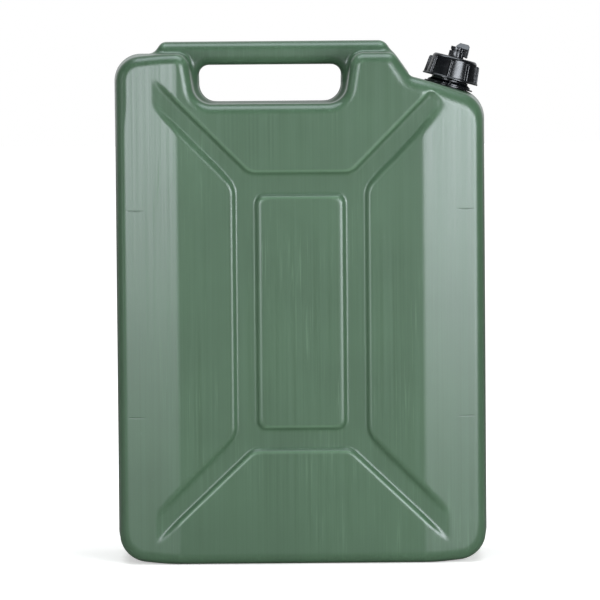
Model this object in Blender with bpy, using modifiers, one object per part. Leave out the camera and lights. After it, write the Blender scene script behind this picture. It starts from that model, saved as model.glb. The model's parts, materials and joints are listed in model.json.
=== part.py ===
"""Twenty litre plastic fuel can: a blow-moulded tank with its own handle, and a screw closure over a stowed spout.

The can stands on z = 0 with its middle on the z axis. Its broad faces look along -Y and +Y, and the neck is at +X.
Lengths are in metres.
"""

import math

import bmesh
import bpy
from mathutils import Matrix

# The tank
WIDTH = 0.350
DEPTH = 0.158
HEIGHT = 0.490
SHOULDER_Z = 0.479
WALL = 0.003
FOOT_CORNER = 0.027
TOP_CORNER = 0.025
NECK_CORNER = 0.028
EDGE_ROUND = 0.009
CREASE_X = 0.115
MARGIN_ANGLE = math.radians(10)
SIDE_DRAFT = 0.004
SADDLE_LEFT = -0.0975
SADDLE_RIGHT = 0.0420
SADDLE_Z = 0.4315
SADDLE_ROUND = 0.018
POST_X = 0.0495
HOLLOW_X = 0.0882
SLOPE_X = 0.1040
POST_ROUND = 0.011

# The pressed channel on each broad face
CHANNEL_DEPTH = 0.004
CHANNEL_TIP_X = 0.145
FRAME_X = 0.044
FRAME_LOW = 0.123
FRAME_HIGH = 0.345
FRAME_ROUND = 0.006
CHANNEL_X = 0.064
CHANNEL_LOW = 0.101
CHANNEL_HIGH = 0.365
BEND_ROUND = 0.018
VALLEY_ROUND = 0.015

# The handle
BAR_DEPTH = 0.040
BAR_EDGE = 0.008
GRIP_LEFT = -0.0956
GRIP_RIGHT = 0.040
GRIP_LOW = 0.4325
GRIP_HIGH = 0.4694
GRIP_ROUND_LOW = 0.018
GRIP_ROUND_HIGH = 0.010
HANDLE_FOOT_Z = 0.4150
HANDLE_LEFT = -0.1410
HANDLE_ROUND = 0.010

# The neck, whose axis leans towards +X. Heights below are along that axis, up from the sloping shoulder.
NECK_LEAN = math.radians(15)
NECK_X = 0.1412
NECK_Z = 0.4461
GAP = 0.0003
MOUTH_R = 0.0160
FLANGE_R = 0.0233
FLANGE_T = 0.0013
STEP_R = 0.0207
STEP_Z = 0.0027
COLLAR_R = 0.0176
COLLAR_LOW = 0.0050
COLLAR_TOP = 0.0068
SLEEVE_END = -0.0085
NECK_R = 0.0162
NECK_BORE = 0.0132
NECK_RIM = 0.0154
THREAD_PITCH = 0.0045
THREAD_WIRE = 0.0010
THREAD_LOW = 0.0094
THREAD_TURNS = 1.0

# The ring
RING_LOW = 0.0070
RING_TOP = 0.0283
RING_LIP = 0.0239
RING_BORE = 0.0182
RING_EYE = 0.0123
RING_FOOT_R = 0.0268
RING_FOOT_T = 0.0016
RING_R_LOW = 0.0238
RING_R_HIGH = 0.0213
CROWN_R = 0.0030
RIBS = 8
RIB_AT = math.radians(-9)
RIB_HALF = 0.0010
RIB_ROUND = 0.0008
RIB_TOP = 0.0247
RIB_R_LOW = 0.0265
RIB_R_HIGH = 0.0245

# What the ring holds down
STACK_R = 0.0159
DISC_R = 0.0174
HUB_TOP = 0.0280
SEAL_SEAT = 0.0259
SEAL_BORE = 0.0062
SPOUT_R = 0.0127
SPOUT_WALL = 0.0015
SPOUT_FLANGE_T = 0.0017
SPOUT_TIP_R = 0.0105
TAPER_HIGH = -0.030
TAPER_LOW = -0.060
SPOUT_END = -0.070
NOZZLE_WALL = 0.0013
NOZZLE_COLLAR = 0.005
NOZZLE_CHAMFER = 0.002
NOZZLE_DRAFT = 0.0008
NOZZLE_END = -0.150
SPOUT_GASKET_T = 0.0013
CLOSURE_GASKET_T = 0.0015

# The vent screw
VENT_HOLE = 0.0032
VENT_FOOT = 0.0176
KNOB_R = 0.0075
GROOVE_R = 0.0060
GROOVE_LOW = 0.0339
GROOVE_HIGH = 0.0346
LEDGE_R = 0.0067
LEDGE_TOP = 0.0382
STOP_R = 0.0042
STOP_T = 0.0012
TAB_HALF = 0.0052
TAB_LEFT = -0.0019
TAB_RIGHT = 0.0105
TAB_T = 0.0022
WEB_HALF = 0.0016
TAB_LOW = 0.0297
ROOF_HALF = 0.0012
KNOB_TOP = 0.0426
SEAL_R = 0.0044
SEAL_WIRE = 0.0009

ROUND_STEPS = 48
ARC_STEP = math.radians(15)

COLOURS = {
    "green_polyethylene": ((0.108, 0.195, 0.125), 0.42),
    "black_plastic": ((0.010, 0.011, 0.013), 0.25),
    "black_rubber": ((0.018, 0.018, 0.018), 0.75),
    "vent_plastic": ((0.030, 0.032, 0.036), 0.30),
}


def clear_scene():
    for obj in list(bpy.data.objects):
        bpy.data.objects.remove(obj)


def new_collection(name):
    made = bpy.data.collections.new(name)
    bpy.context.scene.collection.children.link(made)
    return made


def plastic(name):
    """One of the can's own materials, made the first time that it is asked for."""
    found = bpy.data.materials.get(name)
    if found:
        return found
    colour, roughness = COLOURS[name]
    made = bpy.data.materials.new(name)
    made.use_nodes = True
    shader = made.node_tree.nodes["Principled BSDF"]
    shader.inputs["Base Color"].default_value = (*colour, 1)
    shader.inputs["Roughness"].default_value = roughness
    shader.inputs["Metallic"].default_value = 0
    return made


def rounded(corners):
    """A closed outline through (x, y, radius) corners, each rounded with an arc that touches both its sides."""
    points = []
    for i, (x, y, radius) in enumerate(corners):
        before = corners[i - 1]
        after = corners[(i + 1) % len(corners)]
        a = math.atan2(before[1] - y, before[0] - x)
        b = math.atan2(after[1] - y, after[0] - x)
        turn = (b - a + math.pi) % (2 * math.pi) - math.pi
        if radius == 0 or abs(turn) > math.pi - 0.02:
            points.append((x, y))
            continue
        middle = a + turn / 2
        reach = radius / math.sin(abs(turn) / 2)
        cx = x + reach * math.cos(middle)
        cy = y + reach * math.sin(middle)
        swing = (math.pi - abs(turn)) * (1 if turn > 0 else -1)
        steps = max(2, math.ceil(abs(swing) / ARC_STEP))
        for k in range(steps + 1):
            angle = middle + math.pi + swing * (0.5 - k / steps)
            points.append((cx + radius * math.cos(angle), cy + radius * math.sin(angle)))
    return points


def offset(corners, distance):
    """An anticlockwise outline's corners moved out by distance, or in if it is negative, with their radii to suit."""
    moved = []
    for i, (x, y, radius) in enumerate(corners):
        before = corners[i - 1]
        after = corners[(i + 1) % len(corners)]
        first = math.atan2(y - before[1], x - before[0])
        second = math.atan2(after[1] - y, after[0] - x)
        turn = (second - first + math.pi) % (2 * math.pi) - math.pi
        outward = first + turn / 2 - math.pi / 2
        reach = distance / math.cos(turn / 2)
        grown = radius + (distance if turn > 0 else -distance)
        moved.append((x + reach * math.cos(outward), y + reach * math.sin(outward), grown if radius else 0))
    return moved


def box_corners(left, right, low, high, low_radius, high_radius):
    return [(left, low, low_radius), (right, low, low_radius), (right, high, high_radius), (left, high, high_radius)]


def mesh_object(name, mesh, collection):
    made = bpy.data.objects.new(name, mesh)
    collection.objects.link(made)
    return made


def as_cutter(obj):
    obj.hide_render = True
    obj.display_type = "WIRE"
    return obj


def prism(name, outlines, half_depth, collection, turn=(0, 0, 0), place=(0, 0, 0)):
    """A plate of the first outline, with any others as holes, reaching half_depth to each side of its plane."""
    curve = bpy.data.curves.new(name, "CURVE")
    curve.dimensions = "2D"
    curve.fill_mode = "BOTH"
    curve.extrude = half_depth
    for outline in map(rounded, outlines):
        spline = curve.splines.new("POLY")
        spline.points.add(len(outline) - 1)
        for point, (x, y) in zip(spline.points, outline):
            point.co = (x, y, 0, 1)
        spline.use_cyclic_u = True
    guide = bpy.data.objects.new(name + "_guide", curve)
    collection.objects.link(guide)
    guide.rotation_euler = turn
    guide.location = place
    bpy.context.view_layer.update()
    graph = bpy.context.evaluated_depsgraph_get()
    mesh = bpy.data.meshes.new_from_object(guide.evaluated_get(graph), depsgraph=graph)
    mesh.transform(guide.matrix_world)
    bpy.data.objects.remove(guide)
    tidy = bmesh.new()
    tidy.from_mesh(mesh)
    bmesh.ops.remove_doubles(tidy, verts=tidy.verts, dist=1e-6)
    bmesh.ops.dissolve_limit(tidy, angle_limit=0.001, verts=tidy.verts, edges=tidy.edges)
    bmesh.ops.recalc_face_normals(tidy, faces=tidy.faces)
    tidy.to_mesh(mesh)
    tidy.free()
    return mesh_object(name, mesh, collection)


def upright(name, outlines, half_depth, collection, y=0):
    """A prism whose outline is drawn in the front view, x across and z up."""
    return prism(name, outlines, half_depth, collection, (math.pi / 2, 0, 0), (0, y, 0))


def cut(target, tool, operation="DIFFERENCE"):
    step = target.modifiers.new(tool.name, "BOOLEAN")
    step.solver = "EXACT"
    step.operation = operation
    step.object = tool


def bevel(target, width, segments=3):
    step = target.modifiers.new("rounding", "BEVEL")
    step.width = width
    step.segments = segments
    step.limit_method = "ANGLE"
    step.angle_limit = math.radians(50)


def turned(name, profile, collection, parent=None, steps=ROUND_STEPS):
    """A closed (radius, height) section turned about z. A section on the axis closes there."""
    mesh = bpy.data.meshes.new(name)
    loop = len(profile) if all(radius > 0 for radius, _ in profile) else len(profile) - 1
    edges = [(i, (i + 1) % len(profile)) for i in range(loop)]
    mesh.from_pydata([(radius, 0, height) for radius, height in profile], edges, [])
    made = mesh_object(name, mesh, collection)
    spin = made.modifiers.new("turn", "SCREW")
    spin.steps = steps
    spin.render_steps = steps
    spin.use_merge_vertices = True
    spin.merge_threshold = 1e-5
    made.parent = parent
    return made


def washer(name, inner, outer, low, high, collection, parent):
    section = [(outer, high), (outer, low), (inner, low), (inner, high)]
    return turned(name, section, collection, parent)


def helix(name, radius, low, turns, start, collection, parent):
    """A round thread ridge: a right-handed coil of wire with capped ends, as a mesh."""
    curve = bpy.data.curves.new(name, "CURVE")
    curve.dimensions = "3D"
    curve.twist_mode = "Z_UP"
    curve.bevel_depth = THREAD_WIRE
    curve.bevel_resolution = 2
    curve.use_fill_caps = True
    count = round(turns * 36) + 1
    spline = curve.splines.new("POLY")
    spline.points.add(count - 1)
    for k, point in enumerate(spline.points):
        angle = start + 2 * math.pi * k / 36
        height = low + THREAD_PITCH * k / 36
        point.co = (radius * math.cos(angle), radius * math.sin(angle), height, 1)
    guide = bpy.data.objects.new(name + "_guide", curve)
    collection.objects.link(guide)
    bpy.context.view_layer.update()
    graph = bpy.context.evaluated_depsgraph_get()
    mesh = bpy.data.meshes.new_from_object(guide.evaluated_get(graph), depsgraph=graph)
    bpy.data.objects.remove(guide)
    tidy = bmesh.new()
    tidy.from_mesh(mesh)
    bmesh.ops.remove_doubles(tidy, verts=tidy.verts, dist=1e-6)
    bmesh.ops.recalc_face_normals(tidy, faces=tidy.faces)
    tidy.to_mesh(mesh)
    tidy.free()
    made = as_cutter(mesh_object(name, mesh, collection))
    made.parent = parent
    return made


def finish(obj, material, angle=35):
    """Gives the piece its material and smooth shading with crisp edges."""
    obj.data.materials.append(plastic(material))
    obj.data.shade_smooth()
    obj.data.set_sharp_from_angle(angle=math.radians(angle))
    return obj


def slope_z(x):
    """Height of the sloping shoulder that the neck stands on."""
    return NECK_Z - (x - NECK_X) * math.tan(NECK_LEAN)


def tank_corners():
    """The tank in the front view: a saddle between two posts, and a sloping shoulder at the right."""
    side = WIDTH / 2
    return [
        (-side, 0, FOOT_CORNER),
        (side, 0, FOOT_CORNER),
        (side, slope_z(side), NECK_CORNER),
        (SLOPE_X, slope_z(SLOPE_X), POST_ROUND),
        (HOLLOW_X, SHOULDER_Z, POST_ROUND),
        (POST_X, SHOULDER_Z, POST_ROUND),
        (SADDLE_RIGHT, SADDLE_Z, SADDLE_ROUND),
        (SADDLE_LEFT, SADDLE_Z, SADDLE_ROUND),
        (SADDLE_LEFT - (POST_X - SADDLE_RIGHT), SHOULDER_Z, POST_ROUND),
        (-side, SHOULDER_Z, TOP_CORNER),
    ]


def plan_corners():
    """The tank from above: flat middles, margins that fall back, and side walls that draft out to the middle."""
    side = WIDTH / 2
    half = DEPTH / 2
    edge = half - (side - CREASE_X) * math.tan(MARGIN_ANGLE)
    front = [
        (CREASE_X, -half, 0),
        (side - SIDE_DRAFT, -edge, EDGE_ROUND),
        (side, 0, 0),
        (side - SIDE_DRAFT, edge, EDGE_ROUND),
        (CREASE_X, half, 0),
    ]
    return front + [(-x, y, radius) for x, y, radius in reversed(front)]


def arm_corners():
    """The outside of a broad face's channel: a frame round the middle panel with an arm to each corner."""
    left = [
        (-CHANNEL_TIP_X, 0.4576, 0),
        (-CHANNEL_TIP_X, 0.4355, 0),
        (-CHANNEL_X, 0.354, BEND_ROUND),
        (-CHANNEL_X, 0.114, BEND_ROUND),
        (-CHANNEL_TIP_X, 0.0335, 0),
        (-CHANNEL_TIP_X, 0.0110, 0),
        (-0.050, CHANNEL_LOW, VALLEY_ROUND),
    ]
    low_right = [(-x, z, radius) for x, z, radius in reversed(left[2:])]
    tip = [(0.139, 0.4295, 0.004), (0.126, 0.4430, 0.006)]
    return left + low_right + tip + [(x, CHANNEL_HIGH, VALLEY_ROUND) for x in (0.046, -0.046)]


def panel_corners():
    """The middle panel, which stands inside the channel."""
    return box_corners(-FRAME_X, FRAME_X, FRAME_LOW, FRAME_HIGH, FRAME_ROUND, FRAME_ROUND)


def handle_corners():
    """The handle in the front view, with its feet buried in the tank."""
    return [
        (HANDLE_LEFT, HANDLE_FOOT_Z, 0),
        (0.1000, HANDLE_FOOT_Z, 0),
        (0.1020, 0.4594, 0),
        (0.0804, HEIGHT, HANDLE_ROUND),
        (-0.1300, HEIGHT, HANDLE_ROUND),
        (HANDLE_LEFT, 0.4740, 0.004),
    ]


def grip_corners():
    """The opening under the handle."""
    return box_corners(GRIP_LEFT, GRIP_RIGHT, GRIP_LOW, GRIP_HIGH, GRIP_ROUND_LOW, GRIP_ROUND_HIGH)


def make_handle(cutters):
    handle = upright("handle_solid", [handle_corners(), grip_corners()], BAR_DEPTH / 2, cutters)
    bevel(handle, BAR_EDGE)
    return as_cutter(handle)


def cut_channels(target, name, depth, grow, cutters):
    """Presses the channel into both broad faces of the target."""
    floor = DEPTH / 2 - depth
    half = 0.010
    outlines = [offset(arm_corners(), grow), offset(panel_corners(), -grow)]
    for side, where in ((-1, "front"), (1, "back")):
        channel = upright(f"{name}_{where}", outlines, half, cutters, side * (floor + half))
        cut(target, as_cutter(channel))


def make_cavity(cutters):
    """The space for fuel, one wall inside the tank, which runs on through the hollow handle."""
    reach = DEPTH / 2 - WALL
    cavity = upright("cavity", [offset(tank_corners(), -WALL)], reach + GAP, cutters)
    plan = prism("cavity_plan", [offset(plan_corners(), -WALL)], HEIGHT, cutters)
    cut(cavity, as_cutter(plan), "INTERSECT")
    cut_channels(cavity, "cavity_channel", CHANNEL_DEPTH + WALL, WALL, cutters)
    outlines = [offset(handle_corners(), -WALL), offset(grip_corners(), WALL)]
    tube = upright("handle_hollow", outlines, BAR_DEPTH / 2 - WALL, cutters)
    bevel(tube, BAR_EDGE - WALL, 2)
    cut(cavity, as_cutter(tube), "UNION")
    return as_cutter(cavity)


def make_tank(parts, cutters, neck):
    tank = upright("can_body", [tank_corners()], DEPTH / 2, parts)
    bevel(tank, EDGE_ROUND)
    cut(tank, as_cutter(prism("plan_limit", [plan_corners()], HEIGHT, cutters)), "INTERSECT")
    cut(tank, make_handle(cutters), "UNION")
    cut_channels(tank, "channel", CHANNEL_DEPTH, 0, cutters)
    cut(tank, make_cavity(cutters))
    mouth = turned("mouth", [(0, 0.010), (MOUTH_R, 0.010), (MOUTH_R, -0.012), (0, -0.012)], cutters, neck)
    cut(tank, as_cutter(mouth))
    return finish(tank, "green_polyethylene")


def make_neck_fitting(parts, cutters, neck):
    """A black neck: a flange on the shoulder, a coned collar, a sleeve down into the mouth and a thread."""
    flange_top = GAP + FLANGE_T
    sleeve = MOUTH_R - GAP
    profile = [(NECK_R, NECK_RIM), (NECK_R, COLLAR_TOP), (COLLAR_R, COLLAR_TOP), (COLLAR_R, COLLAR_LOW)]
    profile += [(STEP_R - 0.0004, STEP_Z), (STEP_R, STEP_Z - 0.0004), (STEP_R, flange_top)]
    profile += [(FLANGE_R, flange_top), (FLANGE_R, GAP), (sleeve, GAP), (sleeve, SLEEVE_END)]
    profile += [(NECK_BORE, SLEEVE_END), (NECK_BORE, NECK_RIM)]
    fitting = turned("neck_fitting", profile, parts, neck)
    thread = helix("neck_thread", NECK_R + 0.0006, THREAD_LOW, THREAD_TURNS, 0, cutters, neck)
    cut(fitting, thread, "UNION")
    return finish(fitting, "black_plastic")


def make_ribs(cutters, neck):
    """The ring's upright grip ribs, as one mesh of separate bars that lean in towards the top."""
    low = RING_LOW + 0.0005
    inner = RING_R_HIGH - 0.0015
    mesh = bpy.data.meshes.new("ring_ribs")
    shape = bmesh.new()
    for rib in range(RIBS):
        bar = bmesh.ops.create_cube(shape, size=1)["verts"]
        for vert in bar:
            high = vert.co.z > 0
            outer = RIB_R_HIGH if high else RIB_R_LOW
            vert.co.x = outer if vert.co.x > 0 else inner
            vert.co.y *= 2 * RIB_HALF
            vert.co.z = RIB_TOP if high else low
        turn = Matrix.Rotation(RIB_AT - math.pi / 2 + rib * 2 * math.pi / RIBS, 3, "Z")
        bmesh.ops.rotate(shape, verts=bar, matrix=turn)
    shape.to_mesh(mesh)
    shape.free()
    ribs = as_cutter(mesh_object("ring_ribs", mesh, cutters))
    ribs.parent = neck
    bevel(ribs, RIB_ROUND, 2)
    return ribs


def make_ring(parts, cutters, neck):
    """The ribbed ring: it screws down over the neck, and its lip holds the closure disc."""
    crown_x = RING_R_HIGH - CROWN_R
    crown_z = RING_TOP - CROWN_R
    crown = [(crown_x + CROWN_R * math.sin(a), crown_z + CROWN_R * math.cos(a))
             for a in (math.radians(22.5 * k) for k in range(5))]
    foot = RING_LOW + RING_FOOT_T
    profile = [(RING_EYE, RING_TOP), *crown, (RING_R_LOW, foot), (RING_FOOT_R - 0.0003, foot)]
    profile += [(RING_FOOT_R, foot - 0.0004), (RING_FOOT_R, RING_LOW), (RING_BORE, RING_LOW)]
    profile += [(RING_BORE, RING_LIP), (RING_EYE, RING_LIP)]
    ring = turned("cap_ring", profile, parts, neck)
    cut(ring, make_ribs(cutters, neck), "UNION")
    half_turn = THREAD_LOW + THREAD_PITCH / 2
    thread = helix("ring_thread", RING_BORE - 0.0008, half_turn, THREAD_TURNS, 0, cutters, neck)
    cut(ring, thread, "UNION")
    return finish(ring, "black_plastic")


def make_stack(parts, neck):
    """What lies on the neck's rim, from the bottom up: gasket, stowed spout with its nozzle, and gasket."""
    seat = NECK_RIM + GAP
    gasket = washer("spout_gasket", NECK_BORE, STACK_R, seat, seat + SPOUT_GASKET_T, parts, neck)
    finish(gasket, "black_rubber")
    low = seat + SPOUT_GASKET_T + GAP
    high = low + SPOUT_FLANGE_T
    bore = SPOUT_R - SPOUT_WALL
    tip = SPOUT_TIP_R - SPOUT_WALL
    spout = [(STACK_R, high), (STACK_R, low), (SPOUT_R, low), (SPOUT_R, TAPER_HIGH), (SPOUT_TIP_R, TAPER_LOW)]
    spout += [(SPOUT_TIP_R, SPOUT_END), (tip, SPOUT_END), (tip, TAPER_LOW), (bore, TAPER_HIGH), (bore, high)]
    finish(turned("spout_tube", spout, parts, neck), "black_plastic")
    make_nozzle(parts, neck)
    low = high + GAP
    gasket = washer("closure_gasket", NECK_BORE, STACK_R, low, low + CLOSURE_GASKET_T, parts, neck)
    finish(gasket, "black_rubber")
    return low + CLOSURE_GASKET_T + GAP


def make_nozzle(parts, neck):
    """The spout's narrower end, plugged into its tip up to a collar."""
    plug = SPOUT_TIP_R - SPOUT_WALL - GAP
    hole = plug - NOZZLE_WALL
    high = TAPER_LOW - 0.001
    collar = SPOUT_END - GAP
    foot = collar - NOZZLE_COLLAR
    nozzle = [(plug, high), (plug, collar), (SPOUT_TIP_R, collar), (SPOUT_TIP_R, foot), (plug, foot - NOZZLE_CHAMFER)]
    nozzle += [(plug - NOZZLE_DRAFT, NOZZLE_END), (hole - NOZZLE_DRAFT, NOZZLE_END), (hole, high)]
    finish(turned("spout_nozzle", nozzle, parts, neck), "black_plastic")


def make_disc(parts, neck, low):
    """The closure disc: a rim under the ring's lip and a hub that comes up through its eye."""
    rim_top = RING_LIP - GAP
    hub = RING_EYE - GAP
    profile = [(hub, HUB_TOP), (hub, rim_top), (DISC_R, rim_top), (DISC_R, low), (VENT_HOLE, low)]
    profile += [(VENT_HOLE, SEAL_SEAT), (SEAL_BORE, SEAL_SEAT), (SEAL_BORE, HUB_TOP)]
    return finish(turned("closure_disc", profile, parts, neck), "black_plastic")


def make_tab(cutters, neck):
    """The vent screw's finger tab: a roofed block over the knob, and a plate down outside it on a thin web."""
    block = LEDGE_TOP - 0.0008
    inside = TAB_RIGHT - TAB_T
    front = [
        (TAB_LEFT, block, 0),
        (inside - 0.0001, block, 0),
        (inside + 0.0003, TAB_LOW, 0),
        (TAB_RIGHT + 0.0004, TAB_LOW, 0),
        (TAB_RIGHT, KNOB_TOP - 0.0016, 0),
        (TAB_RIGHT - 0.0015, KNOB_TOP, 0),
        (TAB_LEFT + 0.0029, KNOB_TOP, 0),
        (TAB_LEFT, KNOB_TOP - 0.0032, 0),
    ]
    side = [
        (-TAB_HALF, TAB_LOW - GAP, 0),
        (TAB_HALF, TAB_LOW - GAP, 0),
        (TAB_HALF, LEDGE_TOP - GAP, 0),
        (ROOF_HALF, KNOB_TOP + GAP, 0),
        (-ROOF_HALF, KNOB_TOP + GAP, 0),
        (-TAB_HALF, LEDGE_TOP - GAP, 0),
    ]
    tab = upright("vent_tab", [front], TAB_HALF + GAP, cutters)
    roof = prism("vent_tab_roof", [side], 2 * TAB_RIGHT, cutters, (math.pi / 2, 0, math.pi / 2))
    cut(tab, as_cutter(roof), "INTERSECT")
    middle = box_corners(KNOB_R - 0.0020, TAB_RIGHT - 0.0010, TAB_LOW + 0.0005, LEDGE_TOP, 0, 0)
    web = upright("vent_tab_web", [middle], WEB_HALF, cutters)
    cut(tab, as_cutter(web), "UNION")
    for piece in (tab, roof, web):
        piece.parent = neck
    return as_cutter(tab)


def make_seal(parts, neck):
    """The O-ring in the disc's recess, under the vent screw's knob."""
    bpy.ops.mesh.primitive_torus_add(
        major_radius=SEAL_R, minor_radius=SEAL_WIRE, major_segments=36, minor_segments=10)
    seal = bpy.context.object
    seal.name = "vent_seal"
    for collection in seal.users_collection:
        collection.objects.unlink(seal)
    parts.objects.link(seal)
    seal.parent = neck
    seal.location = (0, 0, SEAL_SEAT + GAP + SEAL_WIRE)
    finish(seal, "black_rubber")


def make_vent(parts, cutters, neck):
    """The vent screw: a stepped knob with a finger tab, on a shank with a stop at its foot."""
    shank = VENT_HOLE - GAP
    low = HUB_TOP + GAP
    profile = [(0, LEDGE_TOP), (LEDGE_R - 0.0005, LEDGE_TOP), (LEDGE_R, LEDGE_TOP - 0.0005)]
    profile += [(LEDGE_R, GROOVE_HIGH + 0.0006), (GROOVE_R, GROOVE_HIGH), (GROOVE_R, GROOVE_LOW)]
    profile += [(KNOB_R - 0.0004, GROOVE_LOW), (KNOB_R, GROOVE_LOW - 0.0004), (KNOB_R, low + 0.0006)]
    profile += [(KNOB_R - 0.0006, low), (shank, low), (shank, VENT_FOOT), (STOP_R, VENT_FOOT)]
    profile += [(STOP_R, VENT_FOOT - STOP_T), (0, VENT_FOOT - STOP_T)]
    knob = turned("vent_knob", profile, parts, neck, 40)
    cut(knob, make_tab(cutters, neck), "UNION")
    finish(knob, "vent_plastic")
    make_seal(parts, neck)


def main():
    clear_scene()
    parts = new_collection("fuel_can")
    cutters = new_collection("cutters")
    neck = bpy.data.objects.new("neck_axis", None)
    parts.objects.link(neck)
    neck.location = (NECK_X, 0, NECK_Z)
    neck.rotation_euler = (0, NECK_LEAN, 0)
    bpy.context.view_layer.update()
    make_tank(parts, cutters, neck)
    make_neck_fitting(parts, cutters, neck)
    disc_low = make_stack(parts, neck)
    make_disc(parts, neck, disc_low)
    make_ring(parts, cutters, neck)
    make_vent(parts, cutters, neck)


main()
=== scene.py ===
"""The finished look of the twenty litre fuel can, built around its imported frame.

Lengths are in metres. The can stands on z = 0, its front looks along -Y and its neck is at +X.
"""

import json
import math

import bmesh
import bpy
import numpy as np
from mathutils import Matrix, Vector


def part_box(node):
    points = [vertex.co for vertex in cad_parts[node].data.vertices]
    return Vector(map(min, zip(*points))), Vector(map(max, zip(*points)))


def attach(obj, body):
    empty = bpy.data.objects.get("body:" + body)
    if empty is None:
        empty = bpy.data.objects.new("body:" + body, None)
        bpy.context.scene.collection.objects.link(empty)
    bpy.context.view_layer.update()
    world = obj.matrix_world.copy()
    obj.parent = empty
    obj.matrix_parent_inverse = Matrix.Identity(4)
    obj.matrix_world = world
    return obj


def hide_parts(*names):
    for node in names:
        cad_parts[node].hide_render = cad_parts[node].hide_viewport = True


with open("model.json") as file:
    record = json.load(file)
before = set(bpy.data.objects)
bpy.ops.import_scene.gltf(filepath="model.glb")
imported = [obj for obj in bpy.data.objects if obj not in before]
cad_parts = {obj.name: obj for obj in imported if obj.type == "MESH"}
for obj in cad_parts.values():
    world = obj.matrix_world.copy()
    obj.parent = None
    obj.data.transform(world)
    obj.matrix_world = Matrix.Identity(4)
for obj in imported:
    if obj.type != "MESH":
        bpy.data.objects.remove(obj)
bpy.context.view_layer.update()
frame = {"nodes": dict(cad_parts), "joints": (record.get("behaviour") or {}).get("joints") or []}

MM = 0.001

# The tank's box, from the frame, and the lines of its front view
HALF_WIDTH, HALF_DEPTH, TANK_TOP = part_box("can_body")[1]
SHOULDER_Z = TANK_TOP - 11 * MM
SADDLE_Z = TANK_TOP - 58.5 * MM
WALL = 3 * MM

# The broad faces
CREASE_X = 115 * MM
CREASE_SOFT = 1.0 * MM
MARGIN_SLOPE = math.tan(math.radians(10))
CHANNEL_DEPTH = 4 * MM
STEP_ANGLE = math.radians(50)
STEP_TOP_R = 3 * MM
STEP_FOOT_R = 1.2 * MM
STEP_START = 1.2 * MM
FACE_MIDDLE_Z = 234 * MM
NECK_ARM_Z = 304.5 * MM
INSERT_LINES_Z = (332 * MM, 138 * MM)

# The edges
EDGE_R = 10.5 * MM
SIDE_REACH = 7.8 * MM
NECK_REACH = 13.5 * MM
SIDE_DRAFT = 4 * MM
BAR_HALF = 20 * MM
BAR_R = 9 * MM
BAR_FILLET = 4 * MM
SEAM_HEIGHT = 0.35 * MM
SEAM_WIDTH = 0.7 * MM
FLASH_HEIGHT = 0.6 * MM

# The neck's axis, from the frame's own joint
RING_JOINT = next(joint for joint in frame["joints"] if joint["name"] == "ring_turn")
NECK_AT = Vector(RING_JOINT["pos_m"])
NECK_AXIS = Vector(RING_JOINT["axis"]).normalized()
NECK_LEAN = math.atan2(NECK_AXIS.x, NECK_AXIS.z)
NECK_FRAME = Matrix.Translation(NECK_AT) @ Matrix.Rotation(NECK_LEAN, 4, "Y")
MOUTH_R = 16 * MM


def neck_span(node):
    """A closure node's reach from the neck's axis, and its lowest and highest place along it."""
    into_neck = NECK_FRAME.inverted()
    points = [into_neck @ vertex.co for vertex in frame["nodes"][node].data.vertices]
    heights = [point.z for point in points]
    return max(math.hypot(point.x, point.y) for point in points), min(heights), max(heights)


# The closure's pieces, along the neck's axis
FLANGE_R, SLEEVE_LOW, NECK_RIM = neck_span("neck_fitting")
RING_R, RING_LOW, RING_TOP = neck_span("cap_ring")
STACK_R, SPOUT_LOW, SPOUT_HIGH = neck_span("spout_tube")
NOZZLE_R, NOZZLE_LOW, NOZZLE_HIGH = neck_span("spout_nozzle")
DISC_R, DISC_LOW, HUB_TOP = neck_span("closure_disc")
_, SHANK_LOW, KNOB_TOP = neck_span("vent_knob")
NECK_BORE = 13.2 * MM
NECK_R = 16.2 * MM
FLANGE_LOW = 0.1 * MM
FLANGE_Z = 1.6 * MM
STEP_R = 20.7 * MM
COLLAR_R = 17.6 * MM
COLLAR_TOP = 6.8 * MM
THREAD_PITCH = 4.5 * MM
THREAD_WIRE = 1 * MM
THREAD_LOW = 9.4 * MM
RING_BORE = 18.2 * MM
RING_EYE = 12.3 * MM
RING_LIP = 23.9 * MM
RIBS = 8
RIB_AT = math.radians(-99)
RIB_HALF = 1.0 * MM
RIB_TOP = 24.7 * MM
RIM_TOP = 23.6 * MM
SEAL_SEAT = 25.9 * MM


# Outlines: rounded polygons with exact signed distances

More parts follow.
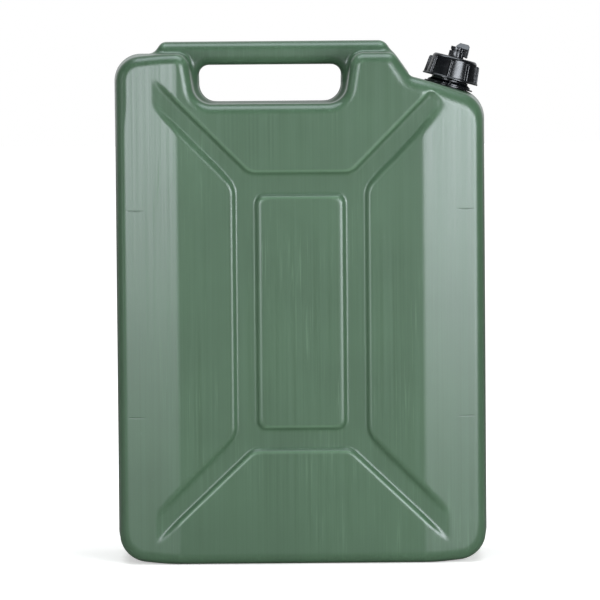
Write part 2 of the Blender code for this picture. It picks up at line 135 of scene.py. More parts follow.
class Outline:
    """A closed anticlockwise outline of straight sides joined by arcs, from (x, z, radius) corners."""

    def __init__(self, corners):
        self.arcs = []
        self.sides = []
        ends = []
        for i, (x, z, radius) in enumerate(corners):
            before = corners[i - 1]
            after = corners[(i + 1) % len(corners)]
            a = np.array([before[0] - x, before[1] - z])
            b = np.array([after[0] - x, after[1] - z])
            a /= np.linalg.norm(a)
            b /= np.linalg.norm(b)
            half = math.acos(float(np.clip(a @ b, -1, 1))) / 2
            middle = (a + b) / np.linalg.norm(a + b)
            tangent = radius / math.tan(half)
            corner = np.array([x, z])
            convex = a[0] * b[1] - a[1] * b[0] < 0
            centre = corner + middle * radius / math.sin(half)
            self.arcs.append((centre, radius, -middle, math.cos(math.pi / 2 - half), convex))
            ends.append((corner + a * tangent, corner + b * tangent))
        for i, (_, leaving) in enumerate(ends):
            self.sides.append((leaving, ends[(i + 1) % len(ends)][0]))

    def distance(self, x, z):
        """Signed distance at each point, negative inside."""
        best = np.full(np.broadcast(x, z).shape, np.inf)
        signed = best.copy()
        for start, end in self.sides:
            along = end - start
            length = np.linalg.norm(along)
            along /= length
            dx = x - start[0]
            dz = z - start[1]
            reach = np.clip(dx * along[0] + dz * along[1], 0, length)
            gap = np.hypot(dx - reach * along[0], dz - reach * along[1])
            side = np.where(along[0] * dz - along[1] * dx > 0, -gap, gap)
            nearer = gap < best
            best = np.where(nearer, gap, best)
            signed = np.where(nearer, side, signed)
        for centre, radius, middle, cosine, convex in self.arcs:
            dx = x - centre[0]
            dz = z - centre[1]
            far = np.hypot(dx, dz)
            off = far - radius
            gap = np.where(dx * middle[0] + dz * middle[1] >= far * cosine, np.abs(off), np.inf)
            nearer = gap < best
            best = np.where(nearer, gap, best)
            signed = np.where(nearer, off if convex else -off, signed)
        return signed


def box_outline(left, right, low, high, low_r, high_r):
    return Outline([(left, low, low_r), (right, low, low_r), (right, high, high_r), (left, high, high_r)])


def shoulder_z(x):
    """Height of the sloping shoulder under the neck."""
    return NECK_AT.z - (x - NECK_AT.x) * math.tan(NECK_LEAN)


TANK = Outline([
    (-HALF_WIDTH, 0, 27 * MM),
    (HALF_WIDTH, 0, 27 * MM),
    (HALF_WIDTH, shoulder_z(HALF_WIDTH), 28 * MM),
    (104 * MM, shoulder_z(104 * MM), 12 * MM),
    (88.2 * MM, SHOULDER_Z, 12 * MM),
    (49.5 * MM, SHOULDER_Z, 13 * MM),
    (42 * MM, SADDLE_Z, 18 * MM),
    (-97.5 * MM, SADDLE_Z, 18 * MM),
    (-105 * MM, SHOULDER_Z, 13 * MM),
    (-HALF_WIDTH, SHOULDER_Z, 25 * MM),
])
HANDLE = Outline([
    (-141 * MM, 415 * MM, 1 * MM),
    (100 * MM, 415 * MM, 1 * MM),
    (102 * MM, 459.4 * MM, 1 * MM),
    (80.4 * MM, TANK_TOP, 10 * MM),
    (-130 * MM, TANK_TOP, 8 * MM),
    (-140.2 * MM, 476 * MM, 2 * MM),
])
GRIP = box_outline(-95.6 * MM, 40 * MM, 432.5 * MM, 468.5 * MM, 18 * MM, 10 * MM)
PANEL = box_outline(-39 * MM, 39 * MM, 129.3 * MM, 344 * MM, 6 * MM, 6 * MM)
ARMS = Outline([
    (-145 * MM, 465.7 * MM, 2 * MM),
    (-145 * MM, 435.5 * MM, 2 * MM),
    (-64 * MM, 354 * MM, 18 * MM),
    (-64 * MM, 122.2 * MM, 18 * MM),
    (-145 * MM, 41.7 * MM, 2 * MM),
    (-145 * MM, 11 * MM, 2 * MM),
    (-45 * MM, 105.7 * MM, 15 * MM),
    (45 * MM, 105.7 * MM, 15 * MM),
    (145 * MM, 11 * MM, 2 * MM),
    (145 * MM, 42.4 * MM, 2 * MM),
    (64 * MM, 122.9 * MM, 18 * MM),
    (64 * MM, 352.3 * MM, 18 * MM),
    (139 * MM, 427.5 * MM, 4 * MM),
    (123.5 * MM, 445.5 * MM, 6 * MM),
    (47.7 * MM, 368.6 * MM, 15 * MM),
    (-47.3 * MM, 368.6 * MM, 15 * MM),
])


# The tank's shape, as a distance field

def step_drop(t):
    """How far a channel's wall has dropped at t in from its top edge: a wide arc, a slope and a tight arc."""
    top_run = STEP_TOP_R * math.sin(STEP_ANGLE)
    top_drop = STEP_TOP_R * (1 - math.cos(STEP_ANGLE))
    foot_run = STEP_FOOT_R * math.sin(STEP_ANGLE)
    foot_drop = STEP_FOOT_R * (1 - math.cos(STEP_ANGLE))
    slope_run = (CHANNEL_DEPTH - top_drop - foot_drop) / math.tan(STEP_ANGLE)
    foot_at = top_run + slope_run
    end = foot_at + foot_run
    on_top = STEP_TOP_R - np.sqrt(np.maximum(STEP_TOP_R**2 - np.clip(t, 0, top_run) ** 2, 0))
    on_slope = np.clip(t - top_run, 0, slope_run) * math.tan(STEP_ANGLE)
    left = end - np.clip(t, foot_at, end)
    on_foot = foot_drop - (STEP_FOOT_R - np.sqrt(np.maximum(STEP_FOOT_R**2 - left**2, 0)))
    return on_top + on_slope + on_foot


def ease(value, start, end):
    """A smooth run from 0 at the start to 1 at the end."""
    share = np.clip((value - start) / (end - start), 0, 1)
    return share**2 * (3 - 2 * share)


def above_corners(x, z):
    """How much further a place is from the faces' middle height than from their middle line."""
    return np.abs(z - FACE_MIDDLE_Z) - np.abs(x)


def face_depth(x, z):
    """How far a broad face stands from the middle plane, with its margins and its channel.

    The channel's walls are steep, but gentler beside the side panels and most of all below the neck's arm.
    """
    past = np.abs(x) - CREASE_X
    level = HALF_DEPTH - MARGIN_SLOPE * (past + np.sqrt(past**2 + CREASE_SOFT**2)) / 2
    channel = np.maximum(ARMS.distance(x, z), -PANEL.distance(x, z))
    below_arm = (x - z + NECK_ARM_Z) / math.sqrt(2)
    under_neck = ease(x, 92 * MM, 126 * MM) * ease(below_arm, 0, 5 * MM) * ease(z, 300 * MM, 350 * MM)
    beside = ease(np.abs(x), 62 * MM, 76 * MM) * ease(above_corners(x, z), 72 * MM, 66 * MM)
    steepness = (1 - 0.28 * beside) * (1 - 0.4 * under_neck)
    drop = step_drop(STEP_START - channel * steepness) / CHANNEL_DEPTH
    return level - drop * np.maximum(level - (HALF_DEPTH - CHANNEL_DEPTH), 0)


def round_meet(a, b, radius):
    """Where two shapes overlap, with the edge between them rounded."""
    u = np.maximum(a + radius, 0)
    v = np.maximum(b + radius, 0)
    return np.minimum(np.maximum(a, b), -radius) + np.hypot(u, v)


def round_join(a, b, radius):
    """Two shapes together, with a fillet between them."""
    u = np.maximum(radius - a, 0)
    v = np.maximum(radius - b, 0)
    return np.maximum(np.minimum(a, b), radius) - np.hypot(u, v)


def tank_field(x, y, z):
    """Signed distance to the tank's outside. Its edge is tighter down the side walls, wider at the neck."""
    handle = np.maximum(HANDLE.distance(x, z), -GRIP.distance(x, z))
    face = face_depth(x, z)
    deep = np.abs(y)
    side = TANK.distance(x, z) + SIDE_DRAFT * deep / HALF_DEPTH * ease(np.abs(x), 120 * MM, 170 * MM)
    wall = ease(np.abs(x), HALF_WIDTH - 26 * MM, HALF_WIDTH - 8 * MM) * ease(z, 435 * MM, 405 * MM)
    neck = ease(x, 70 * MM, 100 * MM) * ease(z, 400 * MM, 435 * MM) * (1 - wall)
    reach = EDGE_R + (NECK_REACH - EDGE_R) * neck
    reach += (SIDE_REACH - EDGE_R) * wall * ease(z, 14 * MM, 38 * MM)
    tank = round_meet(side * EDGE_R / reach, deep - face, EDGE_R)
    bar = round_meet(handle, deep - BAR_HALF, BAR_R)
    whole = round_join(tank, bar, BAR_FILLET)
    flash = FLASH_HEIGHT * np.clip(1 - np.abs(GRIP.distance(x, z)) / (3 * MM), 0, 1)
    flash *= np.clip((462 * MM - z) / (9 * MM), 0, 1)
    seam = (SEAM_HEIGHT + flash) * np.exp(-((y / SEAM_WIDTH) ** 2)) * np.clip((z - 4 * MM) / (3 * MM), 0, 1)
    return whole - seam


# Meshing a distance field

def spaced(*stretches):
    """Grid lines from (start, end, step) stretches that follow one another."""
    lines = [np.array([stretches[0][0]])]
    for start, end, step in stretches:
        count = max(1, round((end - start) / step))
        lines.append(start + (end - start) * np.arange(1, count + 1) / count)
    return np.concatenate(lines)


def surface_net(xs, ys, zs, field):
    """Vertices and quads of the field's zero surface, with one vertex in each grid cell that it crosses."""
    shape = tuple(n - 1 for n in field.shape)
    inside = field < 0
    axes = (xs, ys, zs)
    cell_ids = []
    points = []
    quads = []
    for axis in range(3):
        low = [slice(None)] * 3
        high = [slice(None)] * 3
        low[axis] = slice(None, -1)
        high[axis] = slice(1, None)
        cross = np.argwhere(inside[tuple(low)] != inside[tuple(high)])
        others = [k for k in range(3) if k != axis]
        keep = np.all([(cross[:, k] > 0) & (cross[:, k] < field.shape[k] - 1) for k in others], axis=0)
        cross = cross[keep]
        step = np.zeros(3, int)
        step[axis] = 1
        a = field[tuple(cross.T)]
        b = field[tuple((cross + step).T)]
        share = a / (a - b)
        place = np.stack([axes[k][cross[:, k]] for k in range(3)], 1)
        ahead = axes[axis][cross[:, axis] + 1]
        place[:, axis] += share * (ahead - place[:, axis])
        corners = []
        for du, dv in ((-1, -1), (0, -1), (0, 0), (-1, 0)):
            cell = cross.copy()
            cell[:, others[0]] += du
            cell[:, others[1]] += dv
            corners.append(np.ravel_multi_index(cell.T, shape))
            cell_ids.append(corners[-1])
            points.append(place)
        quad = np.stack(corners, 1)
        flip = (a < 0) != (axis == 1)
        quad[~flip] = quad[~flip][:, ::-1]
        quads.append(quad)
    cell_ids = np.concatenate(cell_ids)
    points = np.concatenate(points)
    used, index = np.unique(cell_ids, return_inverse=True)
    count = np.bincount(index)
    vertices = np.stack([np.bincount(index, points[:, k]) / count for k in range(3)], 1)
    faces = np.searchsorted(used, np.concatenate(quads))
    return vertices, faces


def gradient(points, at):
    """The field and its slope at each point."""
    probe = 0.05 * MM
    x, y, z = points.T
    value = at(x, y, z)
    ahead = [at(x + probe, y, z), at(x, y + probe, z), at(x, y, z + probe)]
    return value, (np.stack(ahead, 1) - value[:, None]) / probe


def settle(vertices, at, rounds=3):
    """Moves the vertices onto the field's zero surface, along its gradient."""
    for _ in range(rounds):
        value, slope = gradient(vertices, at)
        size = np.maximum((slope**2).sum(1), 0.2)
        vertices = vertices - slope * (value / size)[:, None]
    return vertices


def mesh_object(name, vertices, faces):
    mesh = bpy.data.meshes.new(name)
    mesh.from_pydata(vertices.tolist(), [], faces.tolist())
    mesh.validate()
    mesh.shade_smooth()
    made = bpy.data.objects.new(name, mesh)
    bpy.context.scene.collection.objects.link(made)
    return made


def field_object(name, lines, at, mirrored=False):
    """The solid where the field at(x, y, z) is negative, meshed on the grid lines along x, y and z."""
    xs, ys, zs = lines
    near = ys[ys >= 0] if mirrored else ys
    field = at(xs[:, None, None], near[None, :, None], zs[None, None, :])
    if mirrored:
        field = np.concatenate([field[:, :0:-1], field], axis=1)
    vertices, faces = surface_net(xs, ys, zs, field)
    return mesh_object(name, settle(vertices, at), faces)


def both_ways(half):
    """Grid lines on one side of zero, mirrored to the other side."""
    return np.concatenate([-half[:0:-1], half])


def close_slivers(mesh):
    """Closes up the edges and faces that are too small to see."""
    tidy = bmesh.new()
    tidy.from_mesh(mesh)
    bmesh.ops.dissolve_degenerate(tidy, edges=tidy.edges, dist=0.02 * MM)
    tidy.to_mesh(mesh)
    tidy.free()


def boolean(target, tool, operation):
    step = target.modifiers.new("join", "BOOLEAN")
    step.solver = "MANIFOLD"
    step.operation = operation
    step.object = tool
    graph = bpy.context.evaluated_depsgraph_get()
    made = bpy.data.meshes.new_from_object(target.evaluated_get(graph), depsgraph=graph)
    target.modifiers.clear()
    close_slivers(made)
    made.materials.clear()
    target.data = made
    bpy.data.objects.remove(tool)


def tank_object():
    """The tank's skin, hollowed to its wall's thickness and open at the neck."""
    fine = 1.7 * MM * 1
    coarse = 4 * MM
    pad = 2 * MM
    xs = both_ways(spaced((0, 38 * MM, coarse), (38 * MM, HALF_WIDTH + pad, fine)))
    ys = both_ways(spaced((0, 2 * MM, 0.5 * MM), (2 * MM, 9 * MM, 2.5 * MM), (9 * MM, 26 * MM, 1.5 * MM),
                          (26 * MM, 54 * MM, 7 * MM), (54 * MM, HALF_DEPTH + pad, fine)))
    zs = spaced((-pad, 134 * MM, fine), (134 * MM, 336 * MM, coarse), (336 * MM, TANK_TOP + pad, fine))
    tank = field_object("tank_shell", (xs, ys, zs), tank_field, mirrored=True)

    def inner_field(x, y, z):
        return tank_field(x, y, z) + WALL

    loose = 4.5 * MM
    xs = both_ways(spaced((0, HALF_WIDTH, loose)))
    ys = both_ways(spaced((0, HALF_DEPTH, 0.8 * loose)))
    zs = spaced((0, TANK_TOP, loose))
    inside = field_object("tank_inside", (xs, ys, zs), inner_field, mirrored=True)
    boolean(tank, inside, "DIFFERENCE")
    low, high = -12 * MM, 9 * MM
    drill = [(0, low, 0), (MOUTH_R, low, 0), (MOUTH_R, high, 0), (0, high, 0)]
    mouth = turned_piece("tank_mouth", drill)
    boolean(tank, mouth, "DIFFERENCE")
    return tank


# The closure's shapes. x, y and z are in the neck's frame, with z along its axis.

def thread(radius, height, angle, centre, low):
    """Distance to one turn of thread ridge, which tapers into the wall at both ends."""
    turn = (angle / (2 * math.pi)) % 1
    best = np.inf
    for lap in (-1, 0, 1):
        along = turn + lap
        wire = THREAD_WIRE * np.clip(np.minimum(along, 1 - along) / 0.06, -1, 1)
        rise = height - low - THREAD_PITCH * along
        best = np.minimum(best, np.hypot(radius - centre, rise) - wire)
    return best


NECK_SECTION = Outline([
    (NECK_BORE, SLEEVE_LOW, 0.4 * MM),
    (MOUTH_R - 0.3 * MM, SLEEVE_LOW, 0.6 * MM),
    (MOUTH_R - 0.3 * MM, FLANGE_LOW, 0.1 * MM),
    (FLANGE_R, FLANGE_LOW, 0.3 * MM),
    (FLANGE_R, FLANGE_Z, 0.5 * MM),
    (STEP_R, FLANGE_Z, 0.4 * MM),
    (STEP_R, 3.0 * MM, 0.8 * MM),
    (COLLAR_R, 5.0 * MM, 0.8 * MM),
    (COLLAR_R, COLLAR_TOP, 0.3 * MM),
    (NECK_R, COLLAR_TOP, 0.3 * MM),
    (NECK_R, NECK_RIM, 0.5 * MM),
    (NECK_BORE, NECK_RIM, 0.5 * MM),
])


def neck_field(x, y, z):
    """The neck: a flange, a coned collar with a locating notch at the front, and the thread."""
    radius = np.hypot(x, y)
    angle = np.arctan2(y, x)
    body = NECK_SECTION.distance(radius, z)
    notch = np.maximum(np.maximum(np.abs(x - 0.6 * MM) - 0.7 * MM, y + 17.9 * MM), FLANGE_Z - z)
    notch = np.maximum(notch, z - COLLAR_TOP + 1.4 * MM)
    body = round_meet(body, -notch, 0.4 * MM)
    return round_join(body, thread(radius, z, angle, NECK_R + 0.6 * MM, THREAD_LOW), 0.5 * MM)


RING_SECTION = Outline([
    (RING_BORE, RING_LOW, 0.4 * MM),
    (RING_R, RING_LOW, 0.4 * MM),
    (RING_R, RING_LOW + 1.6 * MM, 0.6 * MM),
    (RING_R - 3 * MM, RING_LOW + 1.6 * MM, 0.8 * MM),
    (RING_R - 5.7 * MM, RING_TOP, 3.2 * MM),
    (RING_EYE, RING_TOP, 0.5 * MM),
    (RING_EYE, RING_LIP, 0.3 * MM),
    (RING_BORE, RING_LIP, 0.8 * MM),
])


def ring_field(x, y, z):
    """The screw ring: a drafted drum with a round crown, a foot rim, upright ribs and the inner thread."""
    radius = np.hypot(x, y)
    angle = np.arctan2(y, x)
    pitch = 2 * math.pi / RIBS
    off = (angle - RIB_AT + pitch / 2) % pitch - pitch / 2
    out = radius * np.cos(off)
    across = np.abs(radius * np.sin(off))
    lean = RING_R - 0.3 * MM - (z - RING_LOW) * 0.115
    crest = round_meet(out - lean, z - RIB_TOP, 1.6 * MM)
    rib = round_meet(across - RIB_HALF, crest, 0.9 * MM)
    rib = np.maximum(np.maximum(rib, 20 * MM - out), RING_LOW + 0.5 * MM - z)
    whole = round_join(RING_SECTION.distance(radius, z), rib, 0.5 * MM)
    inner = thread(radius, z, angle, RING_BORE - 0.8 * MM, THREAD_LOW + THREAD_PITCH / 2)
    return round_join(whole, inner, 0.5 * MM)


KNOB_SECTION = Outline([
    (-6 * MM, SHANK_LOW, 0.1 * MM),
    (4.2 * MM, SHANK_LOW, 0.3 * MM),
    (4.2 * MM, SHANK_LOW + 1.2 * MM, 0.3 * MM),
    (2.9 * MM, SHANK_LOW + 1.2 * MM, 0.3 * MM),
    (2.9 * MM, HUB_TOP + 0.3 * MM, 0.3 * MM),
    (7.5 * MM, HUB_TOP + 0.3 * MM, 0.6 * MM),
    (7.5 * MM, HUB_TOP + 5.9 * MM, 0.6 * MM),
    (6.0 * MM, HUB_TOP + 5.9 * MM, 0.3 * MM),
    (6.0 * MM, HUB_TOP + 7.0 * MM, 0.3 * MM),
    (6.8 * MM, HUB_TOP + 7.2 * MM, 0.3 * MM),
    (6.8 * MM, KNOB_TOP - 4.4 * MM, 0.5 * MM),
    (-6 * MM, KNOB_TOP - 4.4 * MM, 0.1 * MM),
])
TAB_FRONT = Outline([
    (-1.9 * MM, KNOB_TOP - 5.2 * MM, 0.3 * MM),
    (8.2 * MM, KNOB_TOP - 5.2 * MM, 0.5 * MM),
    (8.6 * MM, HUB_TOP + 1.7 * MM, 0.3 * MM),
    (10.9 * MM, HUB_TOP + 1.7 * MM, 0.5 * MM),
    (10.5 * MM, KNOB_TOP - 1.6 * MM, 0.5 * MM),
    (9.0 * MM, KNOB_TOP, 0.6 * MM),
    (1.0 * MM, KNOB_TOP, 0.4 * MM),
    (-1.9 * MM, KNOB_TOP - 3.2 * MM, 0.4 * MM),
])
TAB_SIDE = Outline([
    (-5.2 * MM, HUB_TOP + 1.4 * MM, 0.3 * MM),
    (5.2 * MM, HUB_TOP + 1.4 * MM, 0.3 * MM),
    (5.2 * MM, KNOB_TOP - 4.7 * MM, 0.5 * MM),
    (1.2 * MM, KNOB_TOP + 0.3 * MM, 0.4 * MM),
    (-1.2 * MM, KNOB_TOP + 0.3 * MM, 0.4 * MM),
    (-5.2 * MM, KNOB_TOP - 4.7 * MM, 0.5 * MM),
])


def knob_field(x, y, z):
    """The vent screw: a fluted knob on its shank, and a roofed finger tab that runs down beside it."""
    radius = np.hypot(x, y)
    flute = 0.5 - 0.5 * np.cos(RIBS * (np.arctan2(y, x) - RIB_AT - math.radians(26)))
    gripped = np.clip((z - HUB_TOP - 1.0 * MM) / (0.8 * MM), 0, 1)
    drum = KNOB_SECTION.distance(radius + 0.8 * MM * flute**1.5 * gripped, z)
    tab = round_meet(TAB_FRONT.distance(x, z), TAB_SIDE.distance(y, z), 0.4 * MM)
    web = np.maximum(np.abs(y) - 1.6 * MM, np.abs(x - 7.5 * MM) - 2 * MM)
    web = np.maximum(web, np.abs(z - HUB_TOP - 6.2 * MM) - 4 * MM)
    return round_join(drum, round_join(tab, web, 0.3 * MM), 0.4 * MM)


def round_lines(reach, low, high, step):
    """Grid lines round a closure piece, close enough together for its small fillets."""
    step *= 1
    pad = 2 * step
    return spaced((-reach - pad, reach + pad, step)), spaced((-reach - pad, reach + pad, step)), \
        spaced((low - pad, high + pad, step))


def rounded_section(corners):
    """Points along a closed section with rounded corners, and a short step beside each arc to hold it."""
    points = []
    for i, (r, z, rounding) in enumerate(corners):
        here = Vector((r, z))
        before = (Vector(corners[i - 1][:2]) - here).normalized()
        after = (Vector(corners[(i + 1) % len(corners)][:2]) - here).normalized()
        half = before.angle(after) / 2
        if rounding == 0:
            points.append(here)
            continue
        tangent = rounding / math.tan(half)
        centre = here + (before + after).normalized() * rounding / math.sin(half)
        first = here + before * tangent - centre
        sweep = first.angle_signed(here + after * tangent - centre)
        points.append(here + before * (tangent + 0.15 * MM))
        for k in range(6):
            points.append(centre + Matrix.Rotation(-sweep * k / 5, 2) @ first)
        points.append(here + after * (tangent + 0.15 * MM))
    return points


def turned_piece(name, corners):
    """A section of (radius, height, rounding) corners, anticlockwise, turned about the neck's axis."""
    section = rounded_section(corners)
    steps = 144
    count = len(section)
    vertices = []
    faces = []
    for k in range(steps):
        angle = 2 * math.pi * k / steps
        ahead = (k + 1) % steps
        for i, (r, z) in enumerate(section):
            vertices.append((r * math.cos(angle), r * math.sin(angle), z))
            j = (i + 1) % count
            faces.append((k * count + i, ahead * count + i, ahead * count + j, k * count + j))
    mesh = bpy.data.meshes.new(name)
    mesh.from_pydata(vertices, [], faces)
    tidy = bmesh.new()
    tidy.from_mesh(mesh)
    bmesh.ops.remove_doubles(tidy, verts=tidy.verts, dist=1e-6)
    tidy.to_mesh(mesh)
    tidy.free()
    mesh.shade_smooth()
    made = bpy.data.objects.new(name, mesh)
    made.matrix_world = NECK_FRAME
    bpy.context.scene.collection.objects.link(made)
    return made


def washer(name, node):
    """A flat gasket in the place of the frame's own."""
    outer, low, high = neck_span(node)
    r = 0.35 * MM
    return turned_piece(name, [(NECK_BORE, low, r), (outer, low, r), (outer, high, r), (NECK_BORE, high, r)])


def spout_piece():
    """The pouring spout's tube, hung upside down in the neck from its flange."""
    tube = 12.7 * MM
    tip = 10.5 * MM
    wall = 1.5 * MM
    flange = SPOUT_HIGH - 1.7 * MM
    return turned_piece("spout_body", [
        (tip - wall, SPOUT_LOW, 0.4 * MM),
        (tip, SPOUT_LOW, 0.4 * MM),
        (tip, SPOUT_LOW + 10 * MM, 4 * MM),
        (tube, SPOUT_LOW + 40 * MM, 6 * MM),
        (tube, flange, 0.4 * MM),
        (STACK_R, flange, 0.4 * MM),
        (STACK_R, SPOUT_HIGH, 0.5 * MM),
        (tube - wall, SPOUT_HIGH, 0.5 * MM),
        (tube - wall, SPOUT_LOW + 40 * MM, 6 * MM),
        (tip - wall, SPOUT_LOW + 10 * MM, 4 * MM),
    ])


def nozzle_piece():
    """The spout's narrower end, with a collar that stops it in the tube."""
    plug = NOZZLE_R - 1.8 * MM
    bore = plug - 1.3 * MM
    taper = 0.8 * MM
    collar = SPOUT_LOW - 0.3 * MM
    return turned_piece("spout_end", [
        (bore - taper, NOZZLE_LOW, 0.3 * MM),
        (plug - taper, NOZZLE_LOW, 0.5 * MM),
        (plug, collar - 7 * MM, 2 * MM),
        (NOZZLE_R, collar - 5 * MM, 0.8 * MM),
        (NOZZLE_R, collar, 0.4 * MM),
        (plug, collar, 0.3 * MM),
        (plug, NOZZLE_HIGH, 0.4 * MM),
        (bore, NOZZLE_HIGH, 0.4 * MM),
    ])


def disc_piece():
    """The closure disc: a rim under the ring's lip, and a hub with the vent's recess."""
    hub = RING_EYE - 0.3 * MM
    return turned_piece("closure_plate", [
        (3.2 * MM, DISC_LOW, 0.4 * MM),
        (DISC_R, DISC_LOW, 0.4 * MM),
        (DISC_R, RIM_TOP, 0.5 * MM),
        (hub, RIM_TOP, 0.3 * MM),
        (hub, HUB_TOP, 0.7 * MM),
        (6.2 * MM, HUB_TOP, 0.5 * MM),
        (6.2 * MM, SEAL_SEAT, 0.3 * MM),
        (3.2 * MM, SEAL_SEAT, 0.2 * MM),
    ])


def seal_piece():
    outer, low, high = neck_span("vent_seal")
    wire = (high - low) / 2
    centre = outer - wire
    r = 0.98 * wire
    return turned_piece("vent_ring", [
        (centre - wire, low, r), (centre + wire, low, r), (centre + wire, high, r), (centre - wire, high, r)])


def field_piece(name, node, step, at):
    reach, low, high = neck_span(node)
    made = field_object(name, round_lines(reach, low, high, step), at)
    close_slivers(made.data)
    points = np.array([vertex.co for vertex in made.data.vertices])
    slope = gradient(points, at)[1]
    slope /= np.maximum(np.linalg.norm(slope, axis=1), 1e-6)[:, None]
    made.data.normals_split_custom_set_from_vertices(slope.tolist())
    made.matrix_world = NECK_FRAME
    return made


# Materials

class Nodes:
    """A short way to write a material's node tree."""

    def __init__(self, name):
        self.material = bpy.data.materials.new(name)
        self.material.use_nodes = True
        self.tree = self.material.node_tree
        self.shader = self.tree.nodes["Principled BSDF"]

    def add(self, kind, **settings):
        node = self.tree.nodes.new("ShaderNode" + kind)
        for key, value in settings.items():
            if hasattr(node, key):
                setattr(node, key, value)
            else:
                node.inputs[key.replace("_", " ")].default_value = value
        return node

    def link(self, out, into):
        self.tree.links.new(out, into)

    def place(self, scale):
        """Object coordinates, stretched by scale."""
        where = self.add("TexCoord")
        mapping = self.add("Mapping")
        mapping.inputs["Scale"].default_value = scale
        self.link(where.outputs["Object"], mapping.inputs["Vector"])
        return mapping.outputs["Vector"]

    def noise(self, scale, detail=2.0, roughness=0.5):
        """A noise pattern whose scale is in cycles a metre, along x, y and z."""
        made = self.add("TexNoise", Scale=1.0, Detail=detail, Roughness=roughness)
        self.link(self.place(scale), made.inputs["Vector"])
        return made.outputs["Fac"]

    def ramp(self, value, stops):
        made = self.add("ValToRGB")
        elements = made.color_ramp.elements
        while len(elements) < len(stops):
            elements.new(0.5)
        for element, (position, colour) in zip(elements, stops):
            element.position = position
            element.color = (*colour, 1) if len(colour) == 3 else colour
        self.link(value, made.inputs["Fac"])
        return made.outputs["Color"]

    def levels(self, value, low, high, to_low, to_high):
        made = self.add("MapRange")
        for socket, number in zip(("From Min", "From Max", "To Min", "To Max"), (low, high, to_low, to_high)):
            made.inputs[socket].default_value = number
        self.link(value, made.inputs["Value"])
        return made.outputs["Result"]

    def math(self, operation, a, b):
        made = self.add("Math", operation=operation)
        for socket, value in zip(made.inputs, (a, b)):
            if isinstance(value, (int, float)):
                socket.default_value = value
            else:
                self.link(value, socket)
        return made.outputs["Value"]

    def mix(self, share, a, b, mode="MIX"):
        made = self.add("Mix", data_type="RGBA", blend_type=mode)
        sockets = [made.inputs[0], made.inputs[6], made.inputs[7]]
        for socket, value in zip(sockets, (share, a, b)):
            if isinstance(value, (int, float, tuple)):
                socket.default_value = (*value, 1) if isinstance(value, tuple) else value
            else:
                self.link(value, socket)
        return made.outputs[2]

    def bump(self, height, strength, distance):
        made = self.add("Bump", Strength=strength, Distance=distance)
        self.link(height, made.inputs["Height"])
        if self.shader.inputs["Normal"].links:
            self.link(self.shader.inputs["Normal"].links[0].from_socket, made.inputs["Normal"])
        self.link(made.outputs["Normal"], self.shader.inputs["Normal"])


GREEN = (0.0485, 0.092, 0.0505)


def mould_marks(m, where):
    """How much the mould's insert lines show on the margins, and where the trimmed flash runs in the grip, a
    band that is also painted paler as a highlight.
    """
    x, y, z = where.outputs["X"], where.outputs["Y"], where.outputs["Z"]
    off = m.math("SUBTRACT", m.math("ABSOLUTE", x, 0), 155 * MM)
    aside = m.levels(m.math("ABSOLUTE", off, 0), 4 * MM, 9 * MM, 1, 0)
    lines = 0
    for height in INSERT_LINES_Z:
        off = m.math("ABSOLUTE", m.math("SUBTRACT", z, height), 0)
        lines = m.math("ADD", m.levels(off, 0.25 * MM, 0.75 * MM, 1, 0), lines)
    across = m.levels(m.math("ABSOLUTE", m.math("ADD", x, 27.8 * MM), 0), 68 * MM, 70.5 * MM, 1, 0)
    low = m.levels(z, 462 * MM, 470 * MM, 1, 0)
    rim = m.math("MULTIPLY", m.levels(z, 428 * MM, 431 * MM, 0, 1), m.math("MULTIPLY", across, low))
    flash_and_highlight = m.math("MULTIPLY", m.levels(m.math("ABSOLUTE", y, 0), 0.8 * MM, 2.2 * MM, 1, 0), rim)
    return m.math("MULTIPLY", lines, aside), flash_and_highlight


